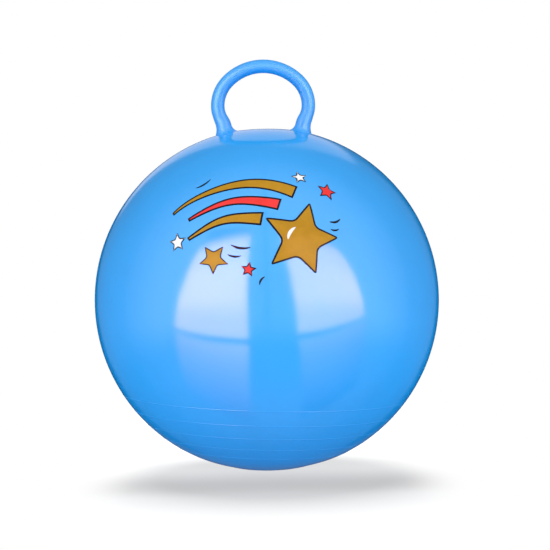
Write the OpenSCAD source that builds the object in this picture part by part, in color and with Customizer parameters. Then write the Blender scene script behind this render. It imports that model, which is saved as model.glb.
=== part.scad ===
// Hopper ball: a blown-up skin with raised grip rings, a hollow hand loop on top and a stoppered air
// valve at the back. Lengths are in millimetres and angles in degrees. The origin is the middle of the
// flat patch that the ball rests on, +Z is up, the printed front faces -Y and the loop stands in the
// XZ plane.

/* [Ball] */
// Width of the blown-up ball across its middle
ball_d = 450; // [400:5:700]
// Thickness of the ball's skin
skin_t = 1.1; // [0.8:0.1:3]
// Radius of the flat patch that the ball's own weight presses against the ground
rest_r = 40; // [20:1:60]

/* [Grip rings] */
// How many raised rings run round the lower half
ring_count = 5; // [1:1:7]
// Angle of the highest ring below the middle of the ball
ring_first = 34.3; // [25:0.1:36]
// Angle from one ring to the next
ring_step = 6.55; // [4:0.05:7]
// Radius of a ring's rounded back
ring_r = 0.7; // [0.5:0.05:1]
// How far a ring stands out of the skin
ring_h = 0.4; // [0.2:0.05:0.45]

/* [Hand loop] */
// Width of the loop from outside to outside
loop_w = 136; // [124:1:150]
// Height of the loop's top above the top of the ball
loop_h = 89; // [80:1:100]
// Height of the loop's widest place above the top of the ball
wide_h = 29; // [25:0.5:34]
// How far the middle of each foot stands in from the middle of the tube at the widest place
foot_in = 9.6; // [4:0.1:14]
// Thickness of the loop's hollow tube
tube_d = 17.7; // [14:0.1:22]
// Thickness of the tube's wall
tube_t = 2.2; // [1.5:0.1:4]
// Radius of the fillet that spreads each foot inwards over the ball
fillet_r = 8; // [4:0.5:12]

/* [Valve seat] */
// Angle of the valve below the middle of the ball, at the back
valve_drop = 15; // [5:1:25]
// Radius of the hole that the plug closes
bore_r = 4; // [3:0.1:5]
// Thickness of the sleeve's wall round the bore
sleeve_t = 3; // [2:0.1:5]
// How far the sleeve reaches in from the skin
sleeve_l = 18; // [12:1:30]
// Thickness of the neck that fills the hole in the skin
neck_t = 2; // [1.5:0.1:4]
// How far the outer lip reaches over the skin
lip_w = 2.2; // [1:0.1:5]
// How far the outer lip stands out of the skin
lip_t = 0.9; // [0.6:0.1:2]
// How far the inner flange reaches under the skin
flange_w = 6.5; // [3:0.5:12]
// Thickness of the inner flange
flange_t = 1.6; // [1:0.1:3]

/* [Valve plug] */
// Radius of the plug's head
head_r = 7; // [6:0.1:9]
// Thickness of the plug's head
head_t = 1.8; // [1.2:0.1:3]
// Clearance round the head in its recess
head_gap = 0.3; // [0.1:0.05:0.6]
// Length of the plug's stem under its head
stem_l = 20; // [14:1:30]
// How many sealing beads run round the stem
bead_count = 3; // [1:1:4]
// How far a bead stands out of the stem
bead_h = 0.35; // [0.2:0.05:0.6]
// Clearance between the beads and the bore
bead_gap = 0.05; // [0.02:0.01:0.1]
// Radius of the thumbnail notch in the head's edge
notch_r = 2.2; // [1.5:0.1:3]

/* [Hidden] */
$fn = 288;

// How far a cut runs past what it cuts
overrun = 1;
// Segments round a bead or a ring's back
small_fn = 24;
// Sides round the loop's tube
tube_sides = 20;
// Most that the loop's path turns from one ring of points to the next
turn_step = 6.5;
// Turn of the shoulder between the side and the arch of the loop
shoulder = 45;
// Heights of the lowest rings of points above the ball, in fillet radii
fillet_shares = [-0.6, -0.2, 0, 0.1, 0.22, 0.38, 0.58, 0.8, 1];
// Share of the fillet that the outer side of a foot keeps
outer_fillet_share = 0.06;
// Taper of the stem's tip, as shares of its radius and its length
tip_r_share = 0.6;
tip_l_share = 0.15;
// Places of the first and last bead along the stem
bead_shares = [0.25, 0.75];

sea_blue = [0.25, 0.65, 0.96];
valve_blue = [0.2, 0.55, 0.88];
plug_white = [0.93, 0.94, 0.94];

ball_r = ball_d / 2;
centre_z = sqrt(pow(ball_r, 2) - pow(rest_r, 2));
tube_r = tube_d / 2;

// Height of the ball's outside at a distance from its upright axis
function ball_top(x) = centre_z + sqrt(pow(ball_r, 2) - pow(x, 2));

// The loop's path is an S from each foot to the widest place, then a bend, then the arch over the top.
// The bend and the arch meet at the shoulder, where a line through both their centres slopes at 45 degrees.
half_w = loop_w / 2 - tube_r;
half_h = loop_h - wide_h - tube_r;
foot_x = half_w - foot_in;
foot_z = ball_top(foot_x);
wide_z = ball_top(0) + wide_h;
bend_in = (half_w - half_h) / (2 - sqrt(2));
bend_r = half_w - bend_in;
arch_r = bend_r + bend_in * sqrt(2);
lean = 2 * atan(foot_in / (wide_z - foot_z));
sway_r = (wide_z - foot_z) / sin(lean) / 2;

neck_r = head_r + head_gap + neck_t;
lip_z = ball_r + lip_t;
recess_z = lip_z - head_t;
bead_r = 2 * bead_h;
stem_r = bore_r - bead_gap - bead_h;

// The ball's half section, shrunk evenly by inset
module half_ball(inset) {
    intersection() {
        translate([0, centre_z]) circle(r = ball_r - inset);
        translate([0, inset]) square([ball_d, ball_d]);
    }
}

// The backs of the grip rings in the ball's half section
module ring_backs() {
    reach = ball_r + ring_h - ring_r;
    for (i = [0 : ring_count - 1]) {
        drop = ring_first + i * ring_step;
        translate([reach * cos(drop), centre_z - reach * sin(drop)])
            circle(r = ring_r, $fn = small_fn);
    }
}

// Puts its children on the valve's axis, with z counted outwards from the middle of the ball
module at_valve() {
    translate([0, 0, centre_z]) rotate([-90 - valve_drop, 0, 0]) children();
}

// How far the ball's skin falls away at a distance from the valve's axis
function skin_drop(r) = ball_r - sqrt(pow(ball_r, 2) - pow(r, 2));

module skin_holes() {
    for (side = [-1, 1])
        translate([side * foot_x, 0, centre_z]) cylinder(r = tube_r - tube_t, h = ball_d, $fn = tube_sides * 2);
    at_valve() cylinder(r = neck_r, h = ball_d);
}

module skin_shell() {
    difference() {
        rotate_extrude() difference() {
            union() {
                half_ball(0);
                ring_backs();
            }
            half_ball(skin_t);
        }
        skin_holes();
    }
}

module ball_skin() {
    color(sea_blue) skin_shell();
}

// One half of the loop's path, as rows of x, z and the slope of the tube's outward side
function arc_steps(sweep) = max(1, ceil(sweep / turn_step));
half_path = concat(
    [for (share = fillet_shares) [foot_x, foot_z + share * fillet_r, 0]],
    [for (i = [1 : arc_steps(lean)])
        let (a = i * lean / arc_steps(lean))
        if (sway_r * sin(a) > 1.1 * fillet_r)
            [foot_x + sway_r * (1 - cos(a)), foot_z + sway_r * sin(a), -a]],
    [for (i = [1 : arc_steps(lean)])
        let (a = lean - i * lean / arc_steps(lean))
        [half_w - sway_r * (1 - cos(a)), wide_z - sway_r * sin(a), -a]],
    [for (i = [1 : arc_steps(shoulder)])
        let (a = i * shoulder / arc_steps(shoulder))
        [bend_in + bend_r * cos(a), wide_z + bend_r * sin(a), a]],
    [for (i = [1 : arc_steps(shoulder)])
        let (a = shoulder + i * (90 - shoulder) / arc_steps(shoulder))
        [arch_r * cos(a), wide_z - bend_in + arch_r * sin(a), a]]);
last_step = len(half_path) - 1;
loop_path = concat(
    half_path,
    [for (i = [last_step - 1 : -1 : 0]) [-half_path[i].x, half_path[i].y, 180 - half_path[i].z]]);

// How far the fillet stands out of the tube at a height above the ball
function fillet_at(h) = h >= fillet_r ? 0
    : h <= 0 ? fillet_r
    : fillet_r - sqrt(pow(fillet_r, 2) - pow(fillet_r - h, 2));

// A ring of points round the path at one place; spread is 1 where the foot has its fillet and 0 where not
function tube_ring(place, r, spread) = [
    for (k = [0 : tube_sides - 1])
        let (
            turn = k * 360 / tube_sides,
            across = r * cos(turn),
            above = place.y + across * sin(place.z) - ball_top(norm([place.x + across * cos(place.z), r * sin(turn)])),
            inner_share = (1 - cos(turn) * cos(place.z) * sign(place.x)) / 2,
            grown = r + spread * fillet_at(above) * max(inner_share, outer_fillet_share))
        [place.x + grown * cos(turn) * cos(place.z), grown * sin(turn), place.y + grown * cos(turn) * sin(place.z)]];

module tube_along(r, spread) {
    rows = len(loop_path);
    polyhedron(
        points = [for (place = loop_path) each tube_ring(place, r, spread)],
        faces = concat(
            [for (i = [0 : rows - 2], k = [0 : tube_sides - 1])
                let (a = i * tube_sides + k, b = i * tube_sides + (k + 1) % tube_sides)
                each [[a, b + tube_sides, b], [a, a + tube_sides, b + tube_sides]]],
            [for (k = [1 : tube_sides - 2]) [0, k, k + 1]],
            [for (k = [1 : tube_sides - 2])
                let (first = (rows - 1) * tube_sides)
                [first, first + k + 1, first + k]]));
}

module ring_handle() {
    color(sea_blue) difference() {
        tube_along(tube_r, 1);
        tube_along(tube_r - tube_t, 0);
        rotate_extrude() half_ball(0);
    }
}

module valve_seat() {
    sleeve_r = bore_r + sleeve_t;
    flange_r = neck_r + flange_w;
    lip_r = neck_r + lip_w;
    under_skin = ball_r - skin_t;
    mid_skin = ball_r - skin_t / 2;
    color(valve_blue) difference() {
        at_valve() rotate_extrude() polygon([
            [bore_r, under_skin - sleeve_l],
            [sleeve_r, under_skin - sleeve_l],
            [sleeve_r, under_skin - 2 * flange_t],
            [sleeve_r + flange_t, under_skin - flange_t],
            [flange_r, under_skin - skin_drop(flange_r) - flange_t / 2],
            [flange_r, mid_skin - skin_drop(flange_r)],
            [lip_r, mid_skin - skin_drop(lip_r)],
            [lip_r, ball_r],
            [lip_r - lip_t / 2, lip_z],
            [head_r + head_gap, lip_z],
            [head_r + head_gap, recess_z],
            [bore_r, recess_z]]);
        skin_shell();
    }
}

module valve_plug() {
    tip_z = recess_z - stem_l;
    edge = head_t / 4;
    bead_step = bead_count > 1 ? (bead_shares[1] - bead_shares[0]) / (bead_count - 1) : 0;
    color(plug_white) at_valve() difference() {
        rotate_extrude() {
            polygon([
                [0, tip_z],
                [tip_r_share * stem_r, tip_z],
                [stem_r, tip_z + tip_l_share * stem_l],
                [stem_r, recess_z],
                [head_r, recess_z],
                [head_r, lip_z - edge],
                [head_r - edge, lip_z],
                [0, lip_z]]);
            for (i = [0 : bead_count - 1])
                translate([stem_r + bead_h - bead_r, recess_z - (bead_shares[0] + i * bead_step) * stem_l])
                    circle(r = bead_r, $fn = small_fn);
        }
        translate([0, head_r, lip_z]) rotate([0, 90, 0])
            cylinder(r = notch_r / 2, h = 2 * notch_r, center = true);
    }
}

ball_skin();
ring_handle();
valve_seat();
valve_plug();
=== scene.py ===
import math

import bmesh
import bpy
from mathutils import Matrix, Vector


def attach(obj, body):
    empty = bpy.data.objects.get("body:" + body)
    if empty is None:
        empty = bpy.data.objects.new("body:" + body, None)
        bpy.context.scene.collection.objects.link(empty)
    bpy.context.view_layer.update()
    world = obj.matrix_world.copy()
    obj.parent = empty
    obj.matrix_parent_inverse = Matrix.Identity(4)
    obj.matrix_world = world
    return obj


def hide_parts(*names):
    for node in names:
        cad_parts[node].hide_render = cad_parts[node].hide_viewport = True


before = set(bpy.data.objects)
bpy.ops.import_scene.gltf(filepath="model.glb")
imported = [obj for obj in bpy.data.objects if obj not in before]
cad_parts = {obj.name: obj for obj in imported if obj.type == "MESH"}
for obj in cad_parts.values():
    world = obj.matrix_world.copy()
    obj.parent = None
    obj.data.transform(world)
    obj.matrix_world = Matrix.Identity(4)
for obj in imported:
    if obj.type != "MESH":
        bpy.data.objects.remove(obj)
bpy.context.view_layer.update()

MM = 0.001
FULL_TURN = 2 * math.pi
# Points that are nearer to each other than this are made one
SAME_SPOT = 0.01 * MM

# Ball, with the degrees between two points of its outline. A piece's CREASE is the turn in degrees from
# which its edges stay sharp
BALL_R = 225 * MM
REST_R = 40 * MM
CENTRE_Z = math.sqrt(BALL_R**2 - REST_R**2)
BALL_MIDDLE = Vector((0, 0, CENTRE_Z))
SKIN_T = 1.1 * MM
SINK = BALL_R - CENTRE_Z
SOFT_FOOT_W = 75 * MM
FOOT_BLEND = (8 * MM, 62 * MM)
TOP_DIP = 1.2 * MM
TOP_DIP_W = 35 * MM
BALL_STEPS = 240
PROFILE_STEP = 1.5
SKIN_CREASE = 50

# Grip rings: the first one's degrees below the ball's middle and the degrees to the next, and half of a
# ring's outline as shares of its half width and of its height
RING_COUNT = 5
RING_FIRST = 34.3
RING_STEP = 6.55
RING_H = 0.22 * MM
RING_HALF_W = 0.632 * MM
RING_SHAPE = ((-1.5, 0.0), (-1.0, 0.0), (-0.907, 0.254), (-0.712, 0.59), (-0.378, 0.895), (0.0, 1.0))
# The rings lean to one side on the blown ball. The lean comes in and goes out between these degrees below
# the ball's middle
RING_LEAN = math.radians(2.5)
LEAN_IN = (11, 32)
LEAN_OUT = (62, 72)

# Hand loop, with the degrees between two rounds of its tube
TUBE_R = 8.85 * MM
HALF_W = 59.15 * MM
FOOT_X = 49.55 * MM
FOOT_Z = CENTRE_Z + math.sqrt(BALL_R**2 - FOOT_X**2)
WIDE_Z = CENTRE_Z + BALL_R + 29 * MM
BEND_IN = 13.657 * MM
SHOULDER = math.radians(45)
LEAN = 2 * math.atan((HALF_W - FOOT_X) / (WIDE_Z - FOOT_Z))
SWAY_R = (WIDE_Z - FOOT_Z) / math.sin(LEAN) / 2
TUBE_SIDES = 48
ARC_STEP = 1.4
FILLET_R = 9 * MM
OUTER_FILLET = 0.1
FOOT_SUNK = 14 * MM
FOOT_ROWS = 8
BELL = 3.2 * MM
BELL_H = 26 * MM
LOOP_CREASE = 60

# Valve. Heights are taken along its axis from the ball's middle, and ROOT is where the sleeve widens into
# the flange
VALVE_DROP = math.radians(15)
NECK_R = 9.3 * MM
LIP_R = 11.5 * MM
LIP_Z = 225.9 * MM
PUNCH_L = 20 * MM
RECESS_R = 7.3 * MM
RECESS_Z = 224.1 * MM
FLANGE_R = 15.8 * MM
FLANGE_T = 0.9 * MM
INNER_Z = BALL_R - SKIN_T
BORE_R = 4 * MM
SLEEVE_R = 7 * MM
SLEEVE_END = 205.9 * MM
ROOT_W = 1.6 * MM
ROOT_H = 1.5 * MM
ROOT_DROP = 1.7 * MM
HEAD_R = 7 * MM
HEAD_DIP = 0.35 * MM
STEM_R = 3.6 * MM
STEM_L = 20 * MM
STEM_FLARE = 0.6 * MM
TIP_Z = RECESS_Z - STEM_L
TIP_H = 0.15 * STEM_L
TIP_R = 0.6 * STEM_R
BEAD_R = 0.7 * MM
BEAD_H = 0.35 * MM
BEAD_SHARES = (0.25, 0.5, 0.75)
NOTCH_R = 2.2 * MM
CORNER_R = 0.4 * MM
CORNER_STEPS = 4
CORNER_REACH = 0.45
VALVE_STEPS = 96
NOTCH_STEPS = 32
SEAT_CREASE = 40
PLUG_CREASE = 35

# Print. Its shapes are drawn flat in mm, and INK_LIFT is how far a film's face stands off the skin
PRINT_TURN = math.radians(-4.7)
PRINT_RISE = math.radians(31)
LINE_W = 2.5 * MM
STAR_LINE_W = 2.4 * MM
SMALL_LINE_W = 1.6 * MM
INK_LIFT = 0.14 * MM
SHINE_LIFT = INK_LIFT + 0.08 * MM
INK_T = 0.25 * MM
INK_CREASE = 40
GRID = 5 * MM
GRID_NUDGE = 0.013 * MM
STAR_TIPS = 5
STAR_WAIST = 0.47
STAR_SOFT = 0.16
TAIL_STEPS = 26
DRIFT_STEPS = 14


# Shader building


class Wire:
    """A shader socket that sums and products can be written on."""

    def __init__(self, finish, socket):
        self.finish = finish
        self.socket = socket

    def __add__(self, other):
        return self.finish.maths("ADD", self, other)

    def __radd__(self, other):
        return self.finish.maths("ADD", other, self)

    def __sub__(self, other):
        return self.finish.maths("SUBTRACT", self, other)

    def __rsub__(self, other):
        return self.finish.maths("SUBTRACT", other, self)

    def __mul__(self, other):
        return self.finish.maths("MULTIPLY", self, other)

    def __rmul__(self, other):
        return self.finish.maths("MULTIPLY", other, self)

    def __truediv__(self, other):
        return self.finish.maths("DIVIDE", self, other)

    def __rtruediv__(self, other):
        return self.finish.maths("DIVIDE", other, self)

    def __pow__(self, other):
        return self.finish.maths("POWER", self, other)


class Finish:
    """The nodes of one material or world, with the calls that add to them."""

    def __init__(self, owner):
        self.owner = owner
        owner.use_nodes = True
        self.tree = owner.node_tree
        self.tree.nodes.clear()

    def node(self, kind, settings=None, sockets=None, out=0):
        """Adds a node with its settings made first, then its values and links, and gives one output."""
        made = self.tree.nodes.new("ShaderNode" + kind)
        for key, value in (settings or {}).items():
            if key == "stops":
                self.set_stops(made.color_ramp, value)
            else:
                setattr(made, key, value)
        for key, value in (sockets or {}).items():
            self.feed(made.inputs[key], value)
        return Wire(self, made.outputs[out]) if made.outputs else None

    def feed(self, socket, value):
        """Gives a socket a link or a plain value."""
        if isinstance(value, Wire):
            self.tree.links.new(value.socket, socket)
        else:
            socket.default_value = value

    def set_stops(self, ramp, stops):
        """Gives a ramp its stops, each a place from 0 to 1 and a colour."""
        while len(ramp.elements) < len(stops):
            ramp.elements.new(1)
        for element, (place, colour) in zip(ramp.elements, stops):
            element.position = place
            element.color = colour

    def maths(self, operation, a, b=0.0):
        return self.node("Math", {"operation": operation}, {0: a, 1: b})

    def mix(self, share, a, b):
        """A colour that goes from a to b as share goes from 0 to 1."""
        return self.node("Mix", {"data_type": "RGBA"}, {0: share, 6: a, 7: b}, out=2)

    def between(self, value, low, high):
        """A smooth step of value from 0 at low to 1 at high."""
        settings = {"interpolation_type": "SMOOTHSTEP", "clamp": True}
        return self.node("MapRange", settings, {0: value, 1: low, 2: high, 3: 0.0, 4: 1.0})

    def place(self):
        """Where a spot is, in its object's own measures."""
        return self.node("TexCoord", out="Object")

    def split(self, vector):
        """A vector's X, Y and Z."""
        outputs = self.node("SeparateXYZ", None, {0: vector}).socket.node.outputs
        return [Wire(self, socket) for socket in outputs]

    def noise(self, scale, detail=2.0, roughness=0.5, distortion=0.0):
        """Cloudy noise with about this many clouds to a metre."""
        sockets = {"Vector": self.place(), "Scale": scale, "Detail": detail}
        sockets["Roughness"] = roughness
        sockets["Distortion"] = distortion
        return self.node("TexNoise", None, sockets)

    def even_gloss(self, share):
        """A coat's weight that makes it mirror the same share of the light at every angle."""
        return share * HEAD_ON / self.node("Fresnel", None, {"IOR": COAT_IOR})

    def bump(self, height, distance, below=None):
        """Relief of a height from 0 to 1 times a distance, on top of the relief below."""
        sockets = {"Height": height, "Distance": distance, "Strength": 1.0}
        if below is not None:
            sockets["Normal"] = below
        return self.node("Bump", None, sockets)

    def surface(self, sockets):
        """Ends a material in a Principled shader with these sockets."""
        shader = self.node("BsdfPrincipled", None, sockets)
        self.node("OutputMaterial", None, {0: shader})
        return self.owner


def paint(name):
    return Finish(bpy.data.materials.new(name))


def shade(colour, share):
    """A colour made darker or lighter by a share."""
    return tuple(min(1.0, c * share) for c in colour[:3]) + (1.0,)


# A clear coat's index, and the share that it mirrors of the light that meets it head on
COAT_IOR = 1.5
HEAD_ON = 0.04
SEA_BLUE = (0.007, 0.328, 0.83, 1.0)
DEEP_BLUE = (0.02, 0.25, 0.74, 1.0)
OCHRE = (0.462, 0.235, 0.016, 1.0)
INK_BLACK = (0.006, 0.007, 0.012, 1.0)
SIGNAL_RED = (0.83, 0.048, 0.045, 1.0)
CLEAN_WHITE = (0.86, 0.88, 0.9, 1.0)
PLUG_WHITE = (0.8, 0.81, 0.8, 1.0)


def blown_vinyl(name, colour, gloss, ior, waves, peel_size):
    """Glossy soft vinyl, with faint flow in its colour, slow waves, orange peel and smudges."""
    finish = paint(name)
    flow = finish.noise(5.0, detail=3.0, roughness=0.55, distortion=0.6)
    pigment = finish.noise(160.0, roughness=0.6)
    tone = finish.between(flow * 0.8 + pigment * 0.2, 0.36, 0.64)
    base = finish.mix(tone, shade(colour, 0.965), shade(colour, 1.02))
    smears = finish.noise(14.0, detail=4.0, roughness=0.6, distortion=1.2)
    smudge = finish.between(smears, 0.52, 0.74)
    grain = finish.noise(420.0)
    rough = gloss + smudge * 0.03 + grain * 0.02
    slow = finish.bump(finish.noise(11.0, detail=1.0, roughness=0.4), waves)
    peel = finish.bump(finish.noise(260.0), peel_size, slow)
    return finish.surface({"Base Color": base, "Roughness": rough, "IOR": ior, "Normal": peel})


def moulded_plastic(name, colour, gloss, peel_size, scatter):
    """Satin moulded plastic with a fine mould grain and faint handling marks."""
    finish = paint(name)
    cloud = finish.between(finish.noise(120.0, detail=3.0, roughness=0.6), 0.35, 0.68)
    base = finish.mix(cloud, shade(colour, 0.93), shade(colour, 1.03))
    scuffs = finish.noise(480.0, detail=3.0, roughness=0.7, distortion=0.8)
    rough = gloss + finish.between(scuffs, 0.5, 0.7) * 0.1
    grain = finish.bump(finish.noise(1700.0, roughness=0.6), peel_size)
    return finish.surface(
        {
            "Base Color": base,
            "Roughness": rough,
            "IOR": 1.49,
            "Subsurface Weight": scatter,
            "Subsurface Radius": (1.0, 1.0, 1.0),
            "Subsurface Scale": 1.5 * MM,
            "Normal": grain,
        }
    )


def screen_ink(name, colour):
    """A film of glossy ink: a little uneven in strength, with the fine pits of a screen print."""
    finish = paint(name)
    clouds = finish.noise(45.0, detail=4.0, roughness=0.65, distortion=0.5)
    flood = finish.between(clouds, 0.3, 0.7)
    mesh_dots = finish.between(finish.noise(1500.0, detail=1.0), 0.3, 0.55)
    strength = flood * 0.75 + mesh_dots * 0.25
    base = finish.mix(strength, shade(colour, 0.88), shade(colour, 1.05))
    pits = finish.bump(finish.noise(900.0), 0.008 * MM)
    return finish.surface(
        {
            "Base Color": base,
            "Roughness": 0.5,
            "Specular IOR Level": 0.0,
            "Coat Weight": finish.even_gloss(0.08 + flood * 0.04),
            "Coat Roughness": 0.2,
            "Normal": pits,
        }
    )


skin_vinyl = blown_vinyl("skin_vinyl", SEA_BLUE, 0.13, 1.5, 0.25 * MM, 0.012 * MM)
# The loop is the skin's vinyl with its blue made 10 % darker: painted shade, so that the loop comes out less
# bright under this light
loop_vinyl = blown_vinyl("loop_vinyl", shade(SEA_BLUE, 0.9), 0.38, 1.53, 0.05 * MM, 0.003 * MM)
valve_vinyl = moulded_plastic("valve_vinyl", DEEP_BLUE, 0.3, 0.006 * MM, 0.1)
plug_plastic = moulded_plastic("plug_plastic", PLUG_WHITE, 0.34, 0.005 * MM, 0.35)
INKS = {
    "ochre": screen_ink("ochre_ink", OCHRE),
    "black": screen_ink("black_ink", INK_BLACK),
    "red": screen_ink("red_ink", SIGNAL_RED),
    "white": screen_ink("white_ink", CLEAN_WHITE),
}


# Modelling by operators


def only(obj):
    """Selects one object alone and makes it the active one."""
    bpy.ops.object.select_all(action="DESELECT")
    obj.select_set(True)
    bpy.context.view_layer.objects.active = obj


def open_mesh(obj):
    """Goes into a piece's edit mode."""
    only(obj)
    bpy.ops.object.mode_set(mode="EDIT")
    bpy.ops.mesh.select_mode(type="VERT")


def close_mesh():
    bpy.ops.object.mode_set(mode="OBJECT")


def pick(obj, kind, test):
    """Selects the vertices, edges or faces of the open mesh that pass a test, and nothing else."""
    bpy.ops.mesh.select_mode(type="VERT")
    bpy.ops.mesh.select_all(action="DESELECT")
    bpy.ops.mesh.select_mode(type=kind)
    mesh = bmesh.from_edit_mesh(obj.data)
    items = {"VERT": mesh.verts, "EDGE": mesh.edges, "FACE": mesh.faces}[kind]
    for item in items:
        if test(item):
            item.select_set(True)
    mesh.select_flush_mode()
    bmesh.update_edit_mesh(obj.data)


def settle(obj):
    """Puts a piece's place into its mesh, so that its object sits at the origin, unturned."""
    only(obj)
    bpy.ops.object.transform_apply(location=True, rotation=True, scale=True)


def trace(name, points):
    """Draws a line from one vertex by extruding it from point to point, and leaves the mesh open."""
    bpy.ops.object.select_all(action="DESELECT")
    bpy.ops.mesh.primitive_plane_add(size=MM, location=points[0])
    obj = bpy.context.object
    obj.name = name
    obj.data.name = name
    open_mesh(obj)
    bpy.ops.mesh.select_all(action="SELECT")
    bpy.ops.mesh.merge(type="CENTER")
    for start, end in zip(points, points[1:]):
        step = Vector(end) - Vector(start)
        bpy.ops.mesh.extrude_region_move(TRANSFORM_OT_translate={"value": step})
    return obj


def join_seams():
    """Merges the open mesh's doubles and turns its faces outwards."""
    bpy.ops.mesh.select_all(action="SELECT")
    bpy.ops.mesh.remove_doubles(threshold=SAME_SPOT)
    bpy.ops.mesh.normals_make_consistent(inside=False)


def lathe(name, outline, steps):
    """Spins an outline of radius and height pairs once round the Z axis, and joins the seam and poles."""
    obj = trace(name, [(r, 0, z) for r, z in outline])
    bpy.ops.mesh.select_all(action="SELECT")
    bpy.ops.mesh.spin(steps=steps, angle=FULL_TURN, center=(0, 0, 0), axis=(0, 0, 1))
    join_seams()
    close_mesh()
    settle(obj)
    return obj


def finish_modifier(obj, kind, **settings):
    """Adds a modifier, sets it and applies it."""
    only(obj)
    modifier = obj.modifiers.new(kind.lower(), kind)
    for key, value in settings.items():
        setattr(modifier, key, value)
    bpy.ops.object.modifier_apply(modifier=modifier.name)


def smooth(obj, degrees):
    """Shades a piece smooth, but for the edges that turn by more than these degrees."""
    only(obj)
    bpy.ops.object.shade_smooth_by_angle(angle=math.radians(degrees))


def dress(obj, material, body):
    """Gives a piece its material and the body that it rides on."""
    obj.data.materials.clear()
    obj.data.materials.append(material)
    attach(obj, body)


def drop(obj):
    bpy.data.objects.remove(obj, do_unlink=True)


# The skin


def smooth_step(value, low, high):
    """A soft step from 0 at low to 1 at high."""
    t = min(1.0, max(0.0, (value - low) / (high - low)))
    return t * t * (3 - 2 * t)


def ring_height(angle):
    """How far the grip rings stand out at an angle below the middle of the ball, in radians."""
    half = RING_HALF_W / BALL_R
    for i in range(RING_COUNT):
        across = (angle - math.radians(RING_FIRST + i * RING_STEP)) / half
        for (a, low), (b, high) in zip(RING_SHAPE, RING_SHAPE[1:]):
            if a <= -abs(across) <= b:
                return RING_H * (low + (high - low) * (-abs(across) - a) / (b - a))
    return 0.0


def skin_point(angle):
    """The skin's outline at an angle below its middle, softened where it rests and under the loop."""
    r = BALL_R + ring_height(angle)
    out = r * math.cos(angle)
    up = CENTRE_Z - r * math.sin(angle)
    if angle > 0:
        up += SINK * math.exp(-((out / SOFT_FOOT_W) ** 2))
        up *= smooth_step(out, *FOOT_BLEND)
    else:
        up -= TOP_DIP * math.exp(-((out / TOP_DIP_W) ** 2))
    return max(0.0, out), max(0.0, up)


ring_angles = [
    math.radians(RING_FIRST + i * RING_STEP) + side * share * RING_HALF_W / BALL_R
    for i in range(RING_COUNT)
    for share, height in RING_SHAPE
    for side in (-1, 1)
]
clear_of_rings = 3 * RING_HALF_W / BALL_R
skin_angles = set(round(a, 7) for a in ring_angles)
for k in range(int(180 / PROFILE_STEP) + 1):
    row = math.radians(-90 + k * PROFILE_STEP)
    if min(abs(row - a) for a in ring_angles) > clear_of_rings:
        skin_angles.add(row)
skin_outline = [skin_point(a) for a in sorted(skin_angles)]
skin_outline[0] = (0.0, skin_outline[0][1])
skin_outline[-1] = (0.0, 0.0)

skin = lathe("skin", skin_outline, BALL_STEPS)


def lean_rings(obj):
    """Turns the rings' zone a little about the Y axis, row by row, so that the skin stays round."""
    drops = []
    for vertex in obj.data.vertices:
        spot = vertex.co - BALL_MIDDLE
        drops.append(-math.degrees(math.asin(spot.z / spot.length)))
    open_mesh(obj)
    for (start, end), turn in ((LEAN_IN, -RING_LEAN), (LEAN_OUT, RING_LEAN)):
        rows = round((end - start) / PROFILE_STEP)
        for k in range(rows):
            limit = start + (k + 0.5) * PROFILE_STEP
            pick(obj, "VERT", lambda vertex: drops[vertex.index] > limit)
            bpy.ops.transform.rotate(value=turn / rows, orient_axis="Y", center_override=BALL_MIDDLE)
    close_mesh()


lean_rings(skin)

valve_frame = Matrix.Translation((0, 0, CENTRE_Z)) @ Matrix.Rotation(-math.pi / 2 - VALVE_DROP, 4, "X")


def at_valve(obj):
    """Moves a piece made round the Z axis onto the valve's axis."""
    obj.matrix_world = valve_frame
    settle(obj)


def cut(obj, cutter):
    """Takes a cutter's shape out of a piece, and throws the cutter away."""
    finish_modifier(obj, "BOOLEAN", operation="DIFFERENCE", solver="EXACT", object=cutter)
    drop(cutter)


finish_modifier(skin, "SOLIDIFY", thickness=SKIN_T, offset=-1)
bpy.ops.mesh.primitive_cylinder_add(
    vertices=VALVE_STEPS, radius=NECK_R, depth=PUNCH_L, location=(0, 0, BALL_R)
)
punch = bpy.context.object
settle(punch)
at_valve(punch)
cut(skin, punch)
smooth(skin, SKIN_CREASE)
dress(skin, skin_vinyl, "ball")
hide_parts("ball_skin")


# The hand loop


def along(sweep, centre_x, centre_z):
    """Carries the open end of the tube on along an arc in the XZ plane, clockwise where sweep is over 0."""
    bpy.ops.mesh.spin(
        steps=max(2, round(abs(math.degrees(sweep)) / ARC_STEP)),
        angle=-sweep,
        center=(centre_x, 0, centre_z),
        axis=(0, 1, 0),
    )


top_z = WIDE_Z - BEND_IN + (HALF_W - BEND_IN) + BEND_IN * math.sqrt(2)
bpy.ops.object.select_all(action="DESELECT")
bpy.ops.mesh.primitive_circle_add(
    vertices=TUBE_SIDES,
    radius=TUBE_R,
    location=(0, 0, top_z),
    rotation=(0, math.pi / 2, 0),
)
loop = bpy.context.object
loop.name = "hand_loop"
loop.data.name = "hand_loop"
open_mesh(loop)
bpy.ops.mesh.select_all(action="SELECT")
along(SHOULDER, 0, WIDE_Z - BEND_IN)
along(math.pi / 2 - SHOULDER, BEND_IN, WIDE_Z)
along(LEAN, HALF_W - SWAY_R, WIDE_Z)
along(-LEAN, FOOT_X + SWAY_R, FOOT_Z)
for k in range(FOOT_ROWS):
    bpy.ops.mesh.extrude_region_move(
        TRANSFORM_OT_translate={"value": (0, 0, -FOOT_SUNK / FOOT_ROWS)}
    )
bpy.ops.mesh.edge_face_add()
join_seams()
close_mesh()
settle(loop)


def fillet(height):
    """How far the foot's fillet stands out at a height above the ball, as a share of its radius."""
    if height >= FILLET_R:
        return 0.0
    if height <= 0:
        return 1.0
    return 1 - math.sqrt(1 - (1 - height / FILLET_R) ** 2)


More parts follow.
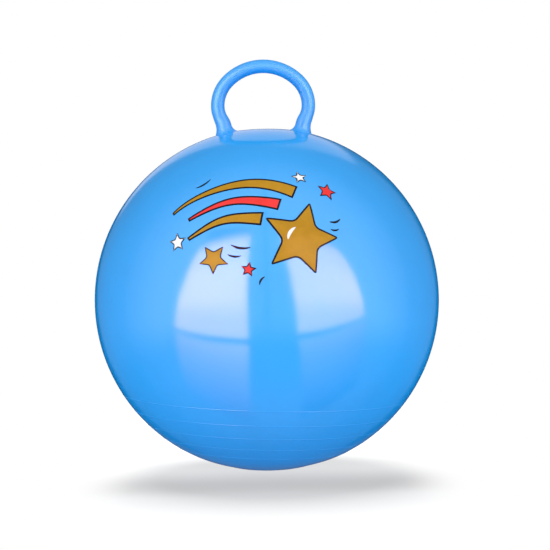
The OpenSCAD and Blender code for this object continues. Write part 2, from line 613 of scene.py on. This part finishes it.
flare = loop.vertex_groups.new(name="flare")
for vertex in loop.data.vertices:
    x, y, z = vertex.co
    if z > FOOT_Z + BELL_H or x < FOOT_X - 2 * TUBE_R:
        continue
    above = z - CENTRE_Z - math.sqrt(BALL_R**2 - x**2 - y**2)
    inner = min(1.0, max(0.0, (1 - (x - FOOT_X) / TUBE_R) / 2))
    bell = (1 - inner) * (1 - smooth_step(above, 0, BELL_H)) * BELL / FILLET_R
    flare.add([vertex.index], fillet(above) * max(inner, OUTER_FILLET) + bell, "REPLACE")
finish_modifier(
    loop,
    "DISPLACE",
    direction="NORMAL",
    strength=FILLET_R,
    mid_level=0.0,
    vertex_group="flare",
)
finish_modifier(loop, "MIRROR", use_axis=(True, False, False), merge_threshold=SAME_SPOT)
open_mesh(loop)
bpy.ops.mesh.select_all(action="SELECT")
bpy.ops.mesh.normals_make_consistent(inside=False)
close_mesh()
smooth(loop, LOOP_CREASE)
dress(loop, loop_vinyl, "ball")
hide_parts("ring_handle")


# The valve seat and its plug


def round_corner(start, corner, end):
    """Points on a soft bend from start to end, drawn towards a corner."""
    shares = [k / CORNER_STEPS for k in range(CORNER_STEPS + 1)]
    return [start * (1 - t) ** 2 + corner * 2 * t * (1 - t) + end * t * t for t in shares]


def rounded(corners):
    """An outline of radius and height pairs, rounded by CORNER_R, or by a corner's third number in mm."""
    points = []
    for i, corner in enumerate(corners):
        here = Vector(corner[:2])
        before = Vector(corners[i - 1][:2]) if i > 0 else None
        after = Vector(corners[i + 1][:2]) if i + 1 < len(corners) else None
        size = corner[2] * MM if len(corner) > 2 else CORNER_R
        if before is None or after is None or size == 0:
            points.append(tuple(here))
            continue
        to_before = (before - here).normalized()
        to_after = (after - here).normalized()
        shorter = min((before - here).length, (after - here).length)
        reach = min(size, CORNER_REACH * shorter)
        arc = round_corner(here + to_before * reach, here, here + to_after * reach)
        points += [tuple(point) for point in arc]
    return points


def skin_drop(r):
    """How far the ball falls away at a radius round the valve's axis."""
    return BALL_R - math.sqrt(BALL_R**2 - r**2)


seat_corners = [
    (BORE_R, RECESS_Z),
    (BORE_R, SLEEVE_END),
    (SLEEVE_R, SLEEVE_END),
    (SLEEVE_R, INNER_Z - ROOT_DROP - ROOT_H),
    (SLEEVE_R + ROOT_W, INNER_Z - ROOT_DROP),
    (FLANGE_R, INNER_Z - skin_drop(FLANGE_R) - FLANGE_T),
    (FLANGE_R, INNER_Z - skin_drop(FLANGE_R)),
    (NECK_R, INNER_Z - skin_drop(NECK_R), 0.2),
    (NECK_R, BALL_R - skin_drop(NECK_R), 0.2),
    (LIP_R, BALL_R - skin_drop(LIP_R), 0.1),
    (LIP_R, LIP_Z, 0.9),
    (RECESS_R, LIP_Z, 0.45),
    (RECESS_R, RECESS_Z, 0.4),
    (BORE_R, RECESS_Z, 0),
]
seat = lathe("valve_ring", rounded(seat_corners), VALVE_STEPS)
at_valve(seat)
smooth(seat, SEAT_CREASE)
dress(seat, valve_vinyl, "ball")
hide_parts("valve_seat")


def bead_points(share):
    """One sealing bead in the stem's outline, from above to below."""
    middle = RECESS_Z - share * STEM_L
    inset = STEM_R + BEAD_H - BEAD_R
    reach = math.acos((STEM_R - inset) / BEAD_R)
    return [
        (inset + BEAD_R * math.cos(a), middle + BEAD_R * math.sin(a))
        for a in [reach * (1 - k / 4) for k in range(9)]
    ]


plug_corners = [
    (0, LIP_Z - HEAD_DIP),
    (HEAD_R * 0.42, LIP_Z - HEAD_DIP, 1.0),
    (HEAD_R * 0.62, LIP_Z, 0.8),
    (HEAD_R, LIP_Z, 0.6),
    (HEAD_R, RECESS_Z, 0.35),
    (STEM_R + STEM_FLARE, RECESS_Z, 0),
    (STEM_R, RECESS_Z - STEM_FLARE, 0),
]
plug_points = rounded(plug_corners)
for share in BEAD_SHARES:
    plug_points += bead_points(share)
plug_points += rounded([(STEM_R, TIP_Z + TIP_H), (TIP_R, TIP_Z, 0.6), (0, TIP_Z)])
plug = lathe("valve_plug_white", plug_points, VALVE_STEPS)
bpy.ops.mesh.primitive_cylinder_add(
    vertices=NOTCH_STEPS,
    radius=NOTCH_R / 2,
    depth=2 * NOTCH_R,
    location=(0, HEAD_R, LIP_Z),
    rotation=(0, math.pi / 2, 0),
)
thumbnail = bpy.context.object
settle(thumbnail)
cut(plug, thumbnail)
at_valve(plug)
smooth(plug, PLUG_CREASE)
dress(plug, plug_plastic, "plug")
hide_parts("valve_plug")


# The printed shooting star, drawn flat in front of the ball and pressed onto it

print_frame = (
    Matrix.Translation((0, 0, CENTRE_Z))
    @ Matrix.Rotation(PRINT_TURN, 4, "Z")
    @ Matrix.Rotation(math.pi / 2 - PRINT_RISE, 4, "X")
)


def filled(name, points):
    """A flat face, drawn point by point and closed."""
    obj = trace(name, points)
    mesh = bmesh.from_edit_mesh(obj.data)
    for vertex in mesh.verts:
        vertex.select_set(len(vertex.link_edges) == 1)
    bmesh.update_edit_mesh(obj.data)
    bpy.ops.mesh.edge_face_add()
    bpy.ops.mesh.select_all(action="SELECT")
    bpy.ops.mesh.edge_face_add()
    close_mesh()
    settle(obj)
    return obj


def grid_cuts(obj):
    """Cuts a flat shape into cells that are small enough to follow the ball."""
    open_mesh(obj)
    for axis in (0, 1):
        places = [v.co[axis] for v in bmesh.from_edit_mesh(obj.data).verts]
        line = math.floor(min(places) / GRID) + 1
        while line * GRID < max(places):
            normal = [0, 0, 0]
            normal[axis] = 1
            spot = [0, 0, BALL_R]
            spot[axis] = line * GRID + GRID_NUDGE
            bpy.ops.mesh.select_all(action="SELECT")
            bpy.ops.mesh.bisect(plane_co=spot, plane_no=normal)
            line += 1
    close_mesh()


def press(obj, ink, lift=INK_LIFT):
    """Wraps a flat shape round the ball, gives it the thickness of an ink film and dresses it."""
    grid_cuts(obj)
    finish_modifier(
        obj,
        "CAST",
        cast_type="SPHERE",
        factor=1.0,
        use_radius_as_size=False,
        size=BALL_R + lift,
    )
    open_mesh(obj)
    pick(obj, "FACE", lambda face: face.normal.dot(face.calc_center_median()) < 0)
    bpy.ops.mesh.flip_normals()
    close_mesh()
    finish_modifier(obj, "SOLIDIFY", thickness=INK_T + lift - INK_LIFT, offset=-1)
    obj.matrix_world = print_frame
    settle(obj)
    smooth(obj, INK_CREASE)
    dress(obj, INKS[ink], "ball")


def outlined(name, points, ink, width=LINE_W):
    """A filled shape with a black line round it: the line is the shape's inset rim."""
    obj = filled(name, [(x * MM, y * MM, BALL_R) for x, y in points])
    open_mesh(obj)
    bpy.ops.mesh.select_mode(type="FACE")
    bpy.ops.mesh.select_all(action="SELECT")
    bpy.ops.mesh.inset(thickness=width, use_even_offset=True)
    bpy.ops.mesh.select_all(action="INVERT")
    bpy.ops.mesh.separate(type="SELECTED")
    close_mesh()
    rim = [o for o in bpy.context.selected_objects if o != obj][0]
    rim.name = name + "_line"
    rim.data.name = rim.name
    press(obj, ink)
    press(rim, "black")


def star_points(x, y, radius, turn):
    """A star's outline with its tips and waists rounded."""
    corners = []
    for k in range(2 * STAR_TIPS):
        r = radius if k % 2 == 0 else radius * STAR_WAIST
        a = math.radians(turn + k * 180 / STAR_TIPS)
        corners.append(Vector((x + r * math.cos(a), y + r * math.sin(a))))
    outline = []
    for i, here in enumerate(corners):
        before = corners[i - 1]
        after = corners[(i + 1) % len(corners)]
        start = here.lerp(before, STAR_SOFT)
        end = here.lerp(after, STAR_SOFT)
        outline += round_corner(start, here, end)
    return [(p.x, p.y) for p in outline]


def tail_points(centre, radius, start, end, wide, narrow, wobble):
    """A tapered stripe along an arc, with gently swaying edges."""
    outer = []
    inner = []
    for k in range(TAIL_STEPS + 1):
        t = k / TAIL_STEPS
        a = math.radians(start + (end - start) * t)
        half = (wide + (narrow - wide) * t) / 2
        sway = wobble * math.sin(9 * t + radius)
        for side, line in ((1, outer), (-1, inner)):
            r = radius + side * half + sway
            line.append((centre[0] + r * math.cos(a), centre[1] + r * math.sin(a)))
    return outer + inner[::-1]


def drift_points(x, y, length, width, turn, bend):
    """A short curved brush stroke, thick in its middle and pointed at its ends."""
    upper = []
    lower = []
    for k in range(DRIFT_STEPS + 1):
        t = k / DRIFT_STEPS
        along_x = (t - 0.5) * length
        along_y = bend * (1 - (2 * t - 1) ** 2)
        half = width / 2 * math.sin(math.pi * t) ** 0.6 + 0.15
        upper.append((along_x, along_y + half))
        lower.append((along_x, along_y - half))
    c = math.cos(math.radians(turn))
    n = math.sin(math.radians(turn))
    return [(x + u * c - v * n, y + u * n + v * c) for u, v in upper + lower[::-1]]


def stroke(name, points, ink, lift=INK_LIFT):
    """A filled shape of one ink, with no line round it."""
    press(filled(name, [(x * MM, y * MM, BALL_R) for x, y in points]), ink, lift)


outlined("star", star_points(64, -28, 56, 80), "ochre", STAR_LINE_W)
stroke("star_shine", drift_points(50, -22, 20, 4.2, 62, 2.5), "white", SHINE_LIFT)
# The middle of the three tails' arcs
TAIL_CENTRE = (-8, -150)
outlined("tail_top", tail_points(TAIL_CENTRE, 200, 72, 122, 22, 6, 0.9), "ochre")
outlined("tail_middle", tail_points(TAIL_CENTRE, 173, 76, 117, 18, 6, 0.8), "red")
outlined("tail_low", tail_points(TAIL_CENTRE, 148, 82, 122, 19, 6, 0.9), "ochre")
# Each small star's X and Y, radius, turn in degrees and ink
SMALL_STARS = (
    (-104, -26, 15, 20, "white"),
    (-50, -56, 22, 50, "ochre"),
    (100, 52, 16, 10, "red"),
    (60, 68, 12, 35, "white"),
    (-4, -72, 11, 80, "red"),
)
for k, (x, y, r, turn, ink) in enumerate(SMALL_STARS):
    outlined("small_star_%d" % (k + 1), star_points(x, y, r, turn), ink, SMALL_LINE_W)
# Each brush stroke's X and Y, length, width, turn in degrees and bend
STROKES = (
    (-14, -40, 26, 3.0, 170, 3),
    (-22, -52, 18, 2.4, 172, 2),
    (112, 6, 20, 3.0, 25, -3),
    (112, -8, 14, 2.4, 12, -2),
    (-70, 62, 24, 2.8, 28, -3),
    (14, -88, 14, 2.4, 60, 2),
)
for k, (x, y, length, width, turn, bend) in enumerate(STROKES):
    stroke("brush_stroke_%d" % (k + 1), drift_points(x, y, length, width, turn, bend), "black")


# Floor, light, world and camera

FLOOR_R = 14
FLOOR_RIM = 10
WHITE = (1, 1, 1, 1)
FLOOR_GREY = (0.1, 0.1, 0.1, 1.0)
# SHADOW_WARM is a warm tint painted on the floor where the camera sees the shadow close before the ball
SHADOW_WARM = (1, 0.985, 0.955, 1)
FLOOR_COOL = (0.92, 0.86, 1, 1)
# The floor's own glow: what it gives to the pieces, then what the camera sees of it, with how much less that
# is from close before the ball onwards, a painted shadow deeper than the lamp's, and how much more under the
# ball, a painted light that lifts the lamp's shadow there
GLOW_GIVEN = 0.78
GLOW_SEEN = 0.565
SHADOW_PAINTED_DEEPER = 0.085
LIGHT_PAINTED_UNDER = 0.24
# Where the painted shadow and the painted light come in, and where the floor goes over to plain white, to the
# side and all round; to the side that white paints the shadow's edges out for the camera
CLOSE_Y = (-0.265, -0.175)
UNDER_Y = (-0.16, 0)
ASIDE_X = (0.165, 0.25)
FAR_OUT = (1.2, 2.6)

bpy.ops.object.select_all(action="DESELECT")
bpy.ops.mesh.primitive_circle_add(
    vertices=128, radius=FLOOR_R, fill_type="NGON", location=(0, 0, 0)
)
floor = bpy.context.object
floor.name = "floor"
open_mesh(floor)
bpy.ops.mesh.select_all(action="SELECT")
bpy.ops.mesh.inset(thickness=FLOOR_RIM)
close_mesh()
settle(floor)
floor.visible_glossy = False


def studio_floor():
    """A pale floor with a glow of its own, with a painted shadow close before the ball and painted light
    under it, that goes over to plain white to the sides of the shadow and farther out.
    """
    finish = paint("studio_floor")
    is_camera = finish.node("LightPath", out="Is Camera Ray")
    lit = finish.node("BsdfDiffuse", None, {"Color": FLOOR_GREY})
    place = finish.place()
    floor_x, floor_y = finish.split(place)[:2]
    # Painted shadow: the camera sees the floor darker and warmer from close before the ball onwards
    painted_shadow = finish.between(floor_y, *CLOSE_Y)
    # Painted light: the camera sees the floor lighter right under the ball, which lifts the lamp's shadow
    # there
    painted_light = finish.between(floor_y, *UNDER_Y)
    seen = GLOW_SEEN - painted_shadow * SHADOW_PAINTED_DEEPER + painted_light * LIGHT_PAINTED_UNDER
    strength = is_camera * seen + (1 - is_camera) * GLOW_GIVEN
    tint = finish.mix(is_camera, FLOOR_COOL, finish.mix(painted_shadow, WHITE, SHADOW_WARM))
    glow = finish.node("Emission", None, {"Color": tint, "Strength": strength})
    both = finish.node("AddShader", None, {0: lit, 1: glow})
    plain = finish.node("Emission", None, {"Color": WHITE, "Strength": is_camera})
    distance = finish.node("VectorMath", {"operation": "LENGTH"}, {0: place}, out="Value")
    # To the sides of the shadow the camera sees plain white, which paints the shadow's edges out
    shadow_painted_out = finish.between(finish.maths("ABSOLUTE", floor_x), *ASIDE_X)
    far = finish.maths("MAXIMUM", finish.between(distance, *FAR_OUT), shadow_painted_out * is_camera)
    shown = finish.node("MixShader", None, {0: far, 1: both, 2: plain})
    finish.node("OutputMaterial", None, {0: shown})
    return finish.owner


floor.data.materials.append(studio_floor())


def aim(obj, place, target, roll=0.0):
    """Puts a lamp or the camera at a place, looking at a target."""
    direction = (Vector(target) - Vector(place)).normalized()
    turn = direction.to_track_quat("-Z", "Y").to_matrix().to_4x4()
    obj.matrix_world = Matrix.Translation(place) @ turn @ Matrix.Rotation(roll, 4, "Z")


# The two fill lamps' brightness and size, and the right one's place
FILL_BRIGHT = 1.35
FILL_SIZE = 1.6
FILL_PLACE = (1.5, -1.8, 1.3)


def fill_lamp(name, place):
    """A square lamp that lights the pieces, and that neither the camera nor the gloss shows."""
    data = bpy.data.lights.new(name, "AREA")
    data.shape = "RECTANGLE"
    data.size = FILL_SIZE
    data.size_y = FILL_SIZE
    data.energy = FILL_BRIGHT * math.pi * FILL_SIZE * FILL_SIZE
    obj = bpy.data.objects.new(name, data)
    bpy.context.scene.collection.objects.link(obj)
    aim(obj, place, BALL_MIDDLE)
    obj.visible_camera = False
    obj.visible_glossy = False


PANEL_FAR = 2.0
PANEL_TINT = (1.0, 0.61, 0.8, 1.0)
# Corners of the two studio panels, as X and Z in metres in their upright plane in front of the ball
PANELS = {
    "left": ((-0.43, -0.5), (-0.44, 2.6), (-2.1, 3.1), (-2.75, 1.2), (-3.8, -0.69)),
    "right": ((0.7, -0.42), (0.37, 2.6), (2.25, 2.7), (3.3, 1.45), (4.15, 0.1), (4.3, -0.42)),
}
PANEL_GLOSS = {"left": 16.8, "right": 14.2}
# The panels' glow on the table: its strength a metre down, then its corners like the panels'
TABLE_GLOW = {
    "left": (5.9, (-0.43, -0.66), (-3.8, -0.92), (-12, -16), (-2.1, -16)),
    "right": (3.2, (0.72, -0.6), (4.4, -0.62), (16, -16), (4.3, -16)),
}


def sheet(name, corners, finish, shader):
    """A flat studio sheet that only the gloss shows."""
    obj = filled(name, corners)
    obj.visible_camera = False
    obj.visible_diffuse = False
    obj.visible_shadow = False
    finish.node("OutputMaterial", None, {0: shader})
    obj.data.materials.append(finish.owner)


def panel(name, corners, strength_at, bright):
    """An upright sheet of light, with a strength worked out from its height."""
    light = paint(name + "_light")
    height = light.split(light.place())[2]
    strength = strength_at(light, height, bright)
    shine = light.node("Emission", None, {"Color": PANEL_TINT, "Strength": strength})
    sheet(name, [(x, -PANEL_FAR, z) for x, z in corners], light, shine)


def soft_box(light, z, bright):
    """A panel's strength at a height: brightest above its middle, and fading out at its top."""
    swell = light.between(z, -0.2, 0.5) * 0.3
    ebb = light.between(z, 1.0, 1.6) * 0.12
    fade = light.between(z, 1.9, 2.6) * 0.9
    return (0.7 + swell - ebb) * (1 - fade) * bright


def table_shine(light, z, bright):
    """The glow's strength at a depth below the table's edge."""
    return bright / light.maths("MAXIMUM", 0 - z, 0.7) ** 0.75


for side, hand in (("left", -1), ("right", 1)):
    panel("panel_" + side, PANELS[side], soft_box, PANEL_GLOSS[side])
    panel("table_glow_" + side, TABLE_GLOW[side][1:], table_shine, TABLE_GLOW[side][0])
    fill_lamp("fill_" + side, Vector((hand * FILL_PLACE[0], FILL_PLACE[1], FILL_PLACE[2])))

AIR_TINT = (0.86, 0.88, 1.0, 1.0)
# A card's soft edge next to the ball, and how far under the skin it starts near the top
CARD_EDGE = 15 * MM
CARD_TUCK = 10 * MM


def from_middle(card):
    """How far a spot on a card is from the ball's middle, and how high it is seen from there."""
    spot = card.place()
    away = card.node("VectorMath", {"operation": "DISTANCE"}, {0: spot, 1: BALL_MIDDLE}, out="Value")
    return away, (card.split(spot)[2] - CENTRE_Z) / away


def graded(card, level, cover):
    """A card's shader: as bright as level, and as solid as cover."""
    tone = card.node("Emission", None, {"Color": AIR_TINT, "Strength": level})
    clear = card.node("BsdfTransparent", None, {"Color": WHITE})
    return card.node("MixShader", None, {0: cover, 1: clear, 2: tone})


def stand_card_across():
    """A card level with the ball's middle that hides the panels from the gloss of the ball's back half."""
    card = paint("card_across")
    away, rise = from_middle(card)
    open_air = card.maths("MAXIMUM", 1 - BALL_R / away, 0.0)
    dimmer_below = card.between(0 - rise, 0.1, 0.5) * 0.6
    level = open_air**1.4 * (1 - dimmer_below) * 2.2
    clear_of_ball = card.between(away, BALL_R, BALL_R + CARD_EDGE)
    # Only what looks forward meets the card's back face, where it is solid
    cover = card.node("NewGeometry", out="Backfacing") * clear_of_ball
    corners = [(-8, 0, -8), (-8, 0, 8), (8, 0, 8), (8, 0, -8)]
    sheet("card_across", corners, card, graded(card, level, cover))


def stand_card_split():
    """A card from the ball's front out to the panels, so that each side of the ball shows its own panel."""
    card = paint("card_split")
    away, rise = from_middle(card)
    level = 0.8 + card.between(away, BALL_R, BALL_R + 0.3) * 1.8
    top_end = card.between(rise, 0.93, 0.998)
    low_end = card.between(0 - rise, 0.75, 0.98)
    tuck = card.between(rise, 0.6, 0.8) * CARD_TUCK
    clear_of_ball = card.between(away + tuck, BALL_R, BALL_R + CARD_EDGE)
    cover = clear_of_ball * ((1 - top_end) * (1 - low_end))
    corners = [(0, -0.02, -16), (0, -0.02, 3.2), (0, -PANEL_FAR, 3.2), (0, -PANEL_FAR, -16)]
    sheet("card_split", corners, card, graded(card, level, cover))


stand_card_across()
stand_card_split()

# A broad light from behind that only the floor receives, for the soft shadow in front of the ball
SUN_POWER = 17
SUN_WIDTH = 0.77
SUN_FROM = Vector((-0.12, 1.5, 2.6))
sun_data = bpy.data.lights.new("shadow_light", "SUN")
sun_data.energy = SUN_POWER
sun_data.angle = SUN_WIDTH
sun = bpy.data.objects.new("shadow_light", sun_data)
bpy.context.scene.collection.objects.link(sun)
aim(sun, BALL_MIDDLE + SUN_FROM, BALL_MIDDLE)
sun.visible_glossy = False
floor_only = bpy.data.collections.new("floor_only")
floor_only.objects.link(floor)
sun.light_linking.receiver_collection = floor_only

# How bright the air is in the gloss, from the camera's side at 0 to the far side at 1
AIR = ((0, 2.7), (0.3, 3.4), (0.39, 3.2), (0.5, 2.2), (0.68, 0.8), (0.835, 0.36), (0.95, 0.2))
# A ramp's colours end at 1, so its stops are the brightness divided by this
AIR_TOP = 4


def gloss_air(air, x, y, z):
    """What the gloss shows round the panels."""
    stops = [(share, (level / AIR_TOP, level / AIR_TOP, level / AIR_TOP, 1)) for share, level in AIR]
    in_front = air.node("ValToRGB", {"stops": stops}, {0: (y + 1) / 2}) * AIR_TOP
    low = air.between(0 - z, 0.1, 0.5) * 0.6
    gap = air.between(y * 0.97 - z * 0.242, 0.885, 0.9)
    far_right = air.between(y, 0.87, 0.93) * air.between(x, 0.1, 0.3) * 0.85
    # Bright air in front that falls off to the sides, with less of it below, far right and low behind
    walls = in_front * (1 - low) * (1 - gap) * (1 - far_right)
    # A pale backdrop high up behind
    oval = ((x - 0.07) / 0.43) ** 2 + (z / 0.78) ** 2
    above_floor = air.between(z - air.maths("MAXIMUM", x, 0.0), 0.1, 0.17)
    backdrop = (1 - air.between(oval, 0.9, 1.1)) * above_floor * air.between(y, 0, 0.2)
    # A little of the floor behind the ball
    strip = 1 - air.between(air.maths("ABSOLUTE", x), 0.18, 0.28)
    ground = air.between(0 - z, 0.2, 0.27) * strip * gap * 0.12
    return walls * (1 - backdrop) + backdrop * 0.92 + ground


def studio_air(world):
    """The world: plain white to the camera, the studio in the gloss, and a soft even light on the colours."""
    air = Finish(world)
    x, y, z = air.split(air.node("TexCoord", out="Generated"))
    reflect = air.node("Background", None, {0: AIR_TINT, 1: gloss_air(air, x, y, z)})
    # A little less light from the sides, from overhead and from behind
    beside = (1 - air.between(air.maths("ABSOLUTE", y), 0.25, 0.85)) * 0.32
    behind = air.between(y, -0.6, 0.6) * 0.1
    fill = air.node("Background", None, {0: WHITE, 1: 1.15 - beside - behind})
    plain = air.node("Background", None, {0: WHITE, 1: 1.0})
    is_glossy = air.node("LightPath", out="Is Glossy Ray")
    is_camera = air.node("LightPath", out="Is Camera Ray")
    unseen = air.node("MixShader", None, {0: is_glossy, 1: fill, 2: reflect})
    sky = air.node("MixShader", None, {0: is_camera, 1: unseen, 2: plain})
    air.node("OutputWorld", None, {0: sky})


studio = bpy.data.worlds.new("studio")
bpy.context.scene.world = studio
studio_air(studio)

CAMERA_FAR = 3.15
CAMERA_RISE = math.radians(3.7)
CAMERA_ROLL = math.radians(-1.1)
CAMERA_LENS = 157.3
CAMERA_SENSOR_W = 36
# How far the camera's aim is from the ball's middle, to the right and up
AIM_SHIFT = Vector((11.3 * MM, 0, 32.4 * MM))
camera_data = bpy.data.cameras.new("camera")
camera_data.lens = CAMERA_LENS
camera_data.sensor_width = CAMERA_SENSOR_W
camera = bpy.data.objects.new("camera", camera_data)
bpy.context.scene.collection.objects.link(camera)
view_from = BALL_MIDDLE + CAMERA_FAR * Vector((0, -math.cos(CAMERA_RISE), math.sin(CAMERA_RISE)))
aim(camera, view_from, BALL_MIDDLE + AIM_SHIFT, CAMERA_ROLL)
bpy.context.scene.camera = camera
bpy.context.scene.view_settings.view_transform = "Standard"
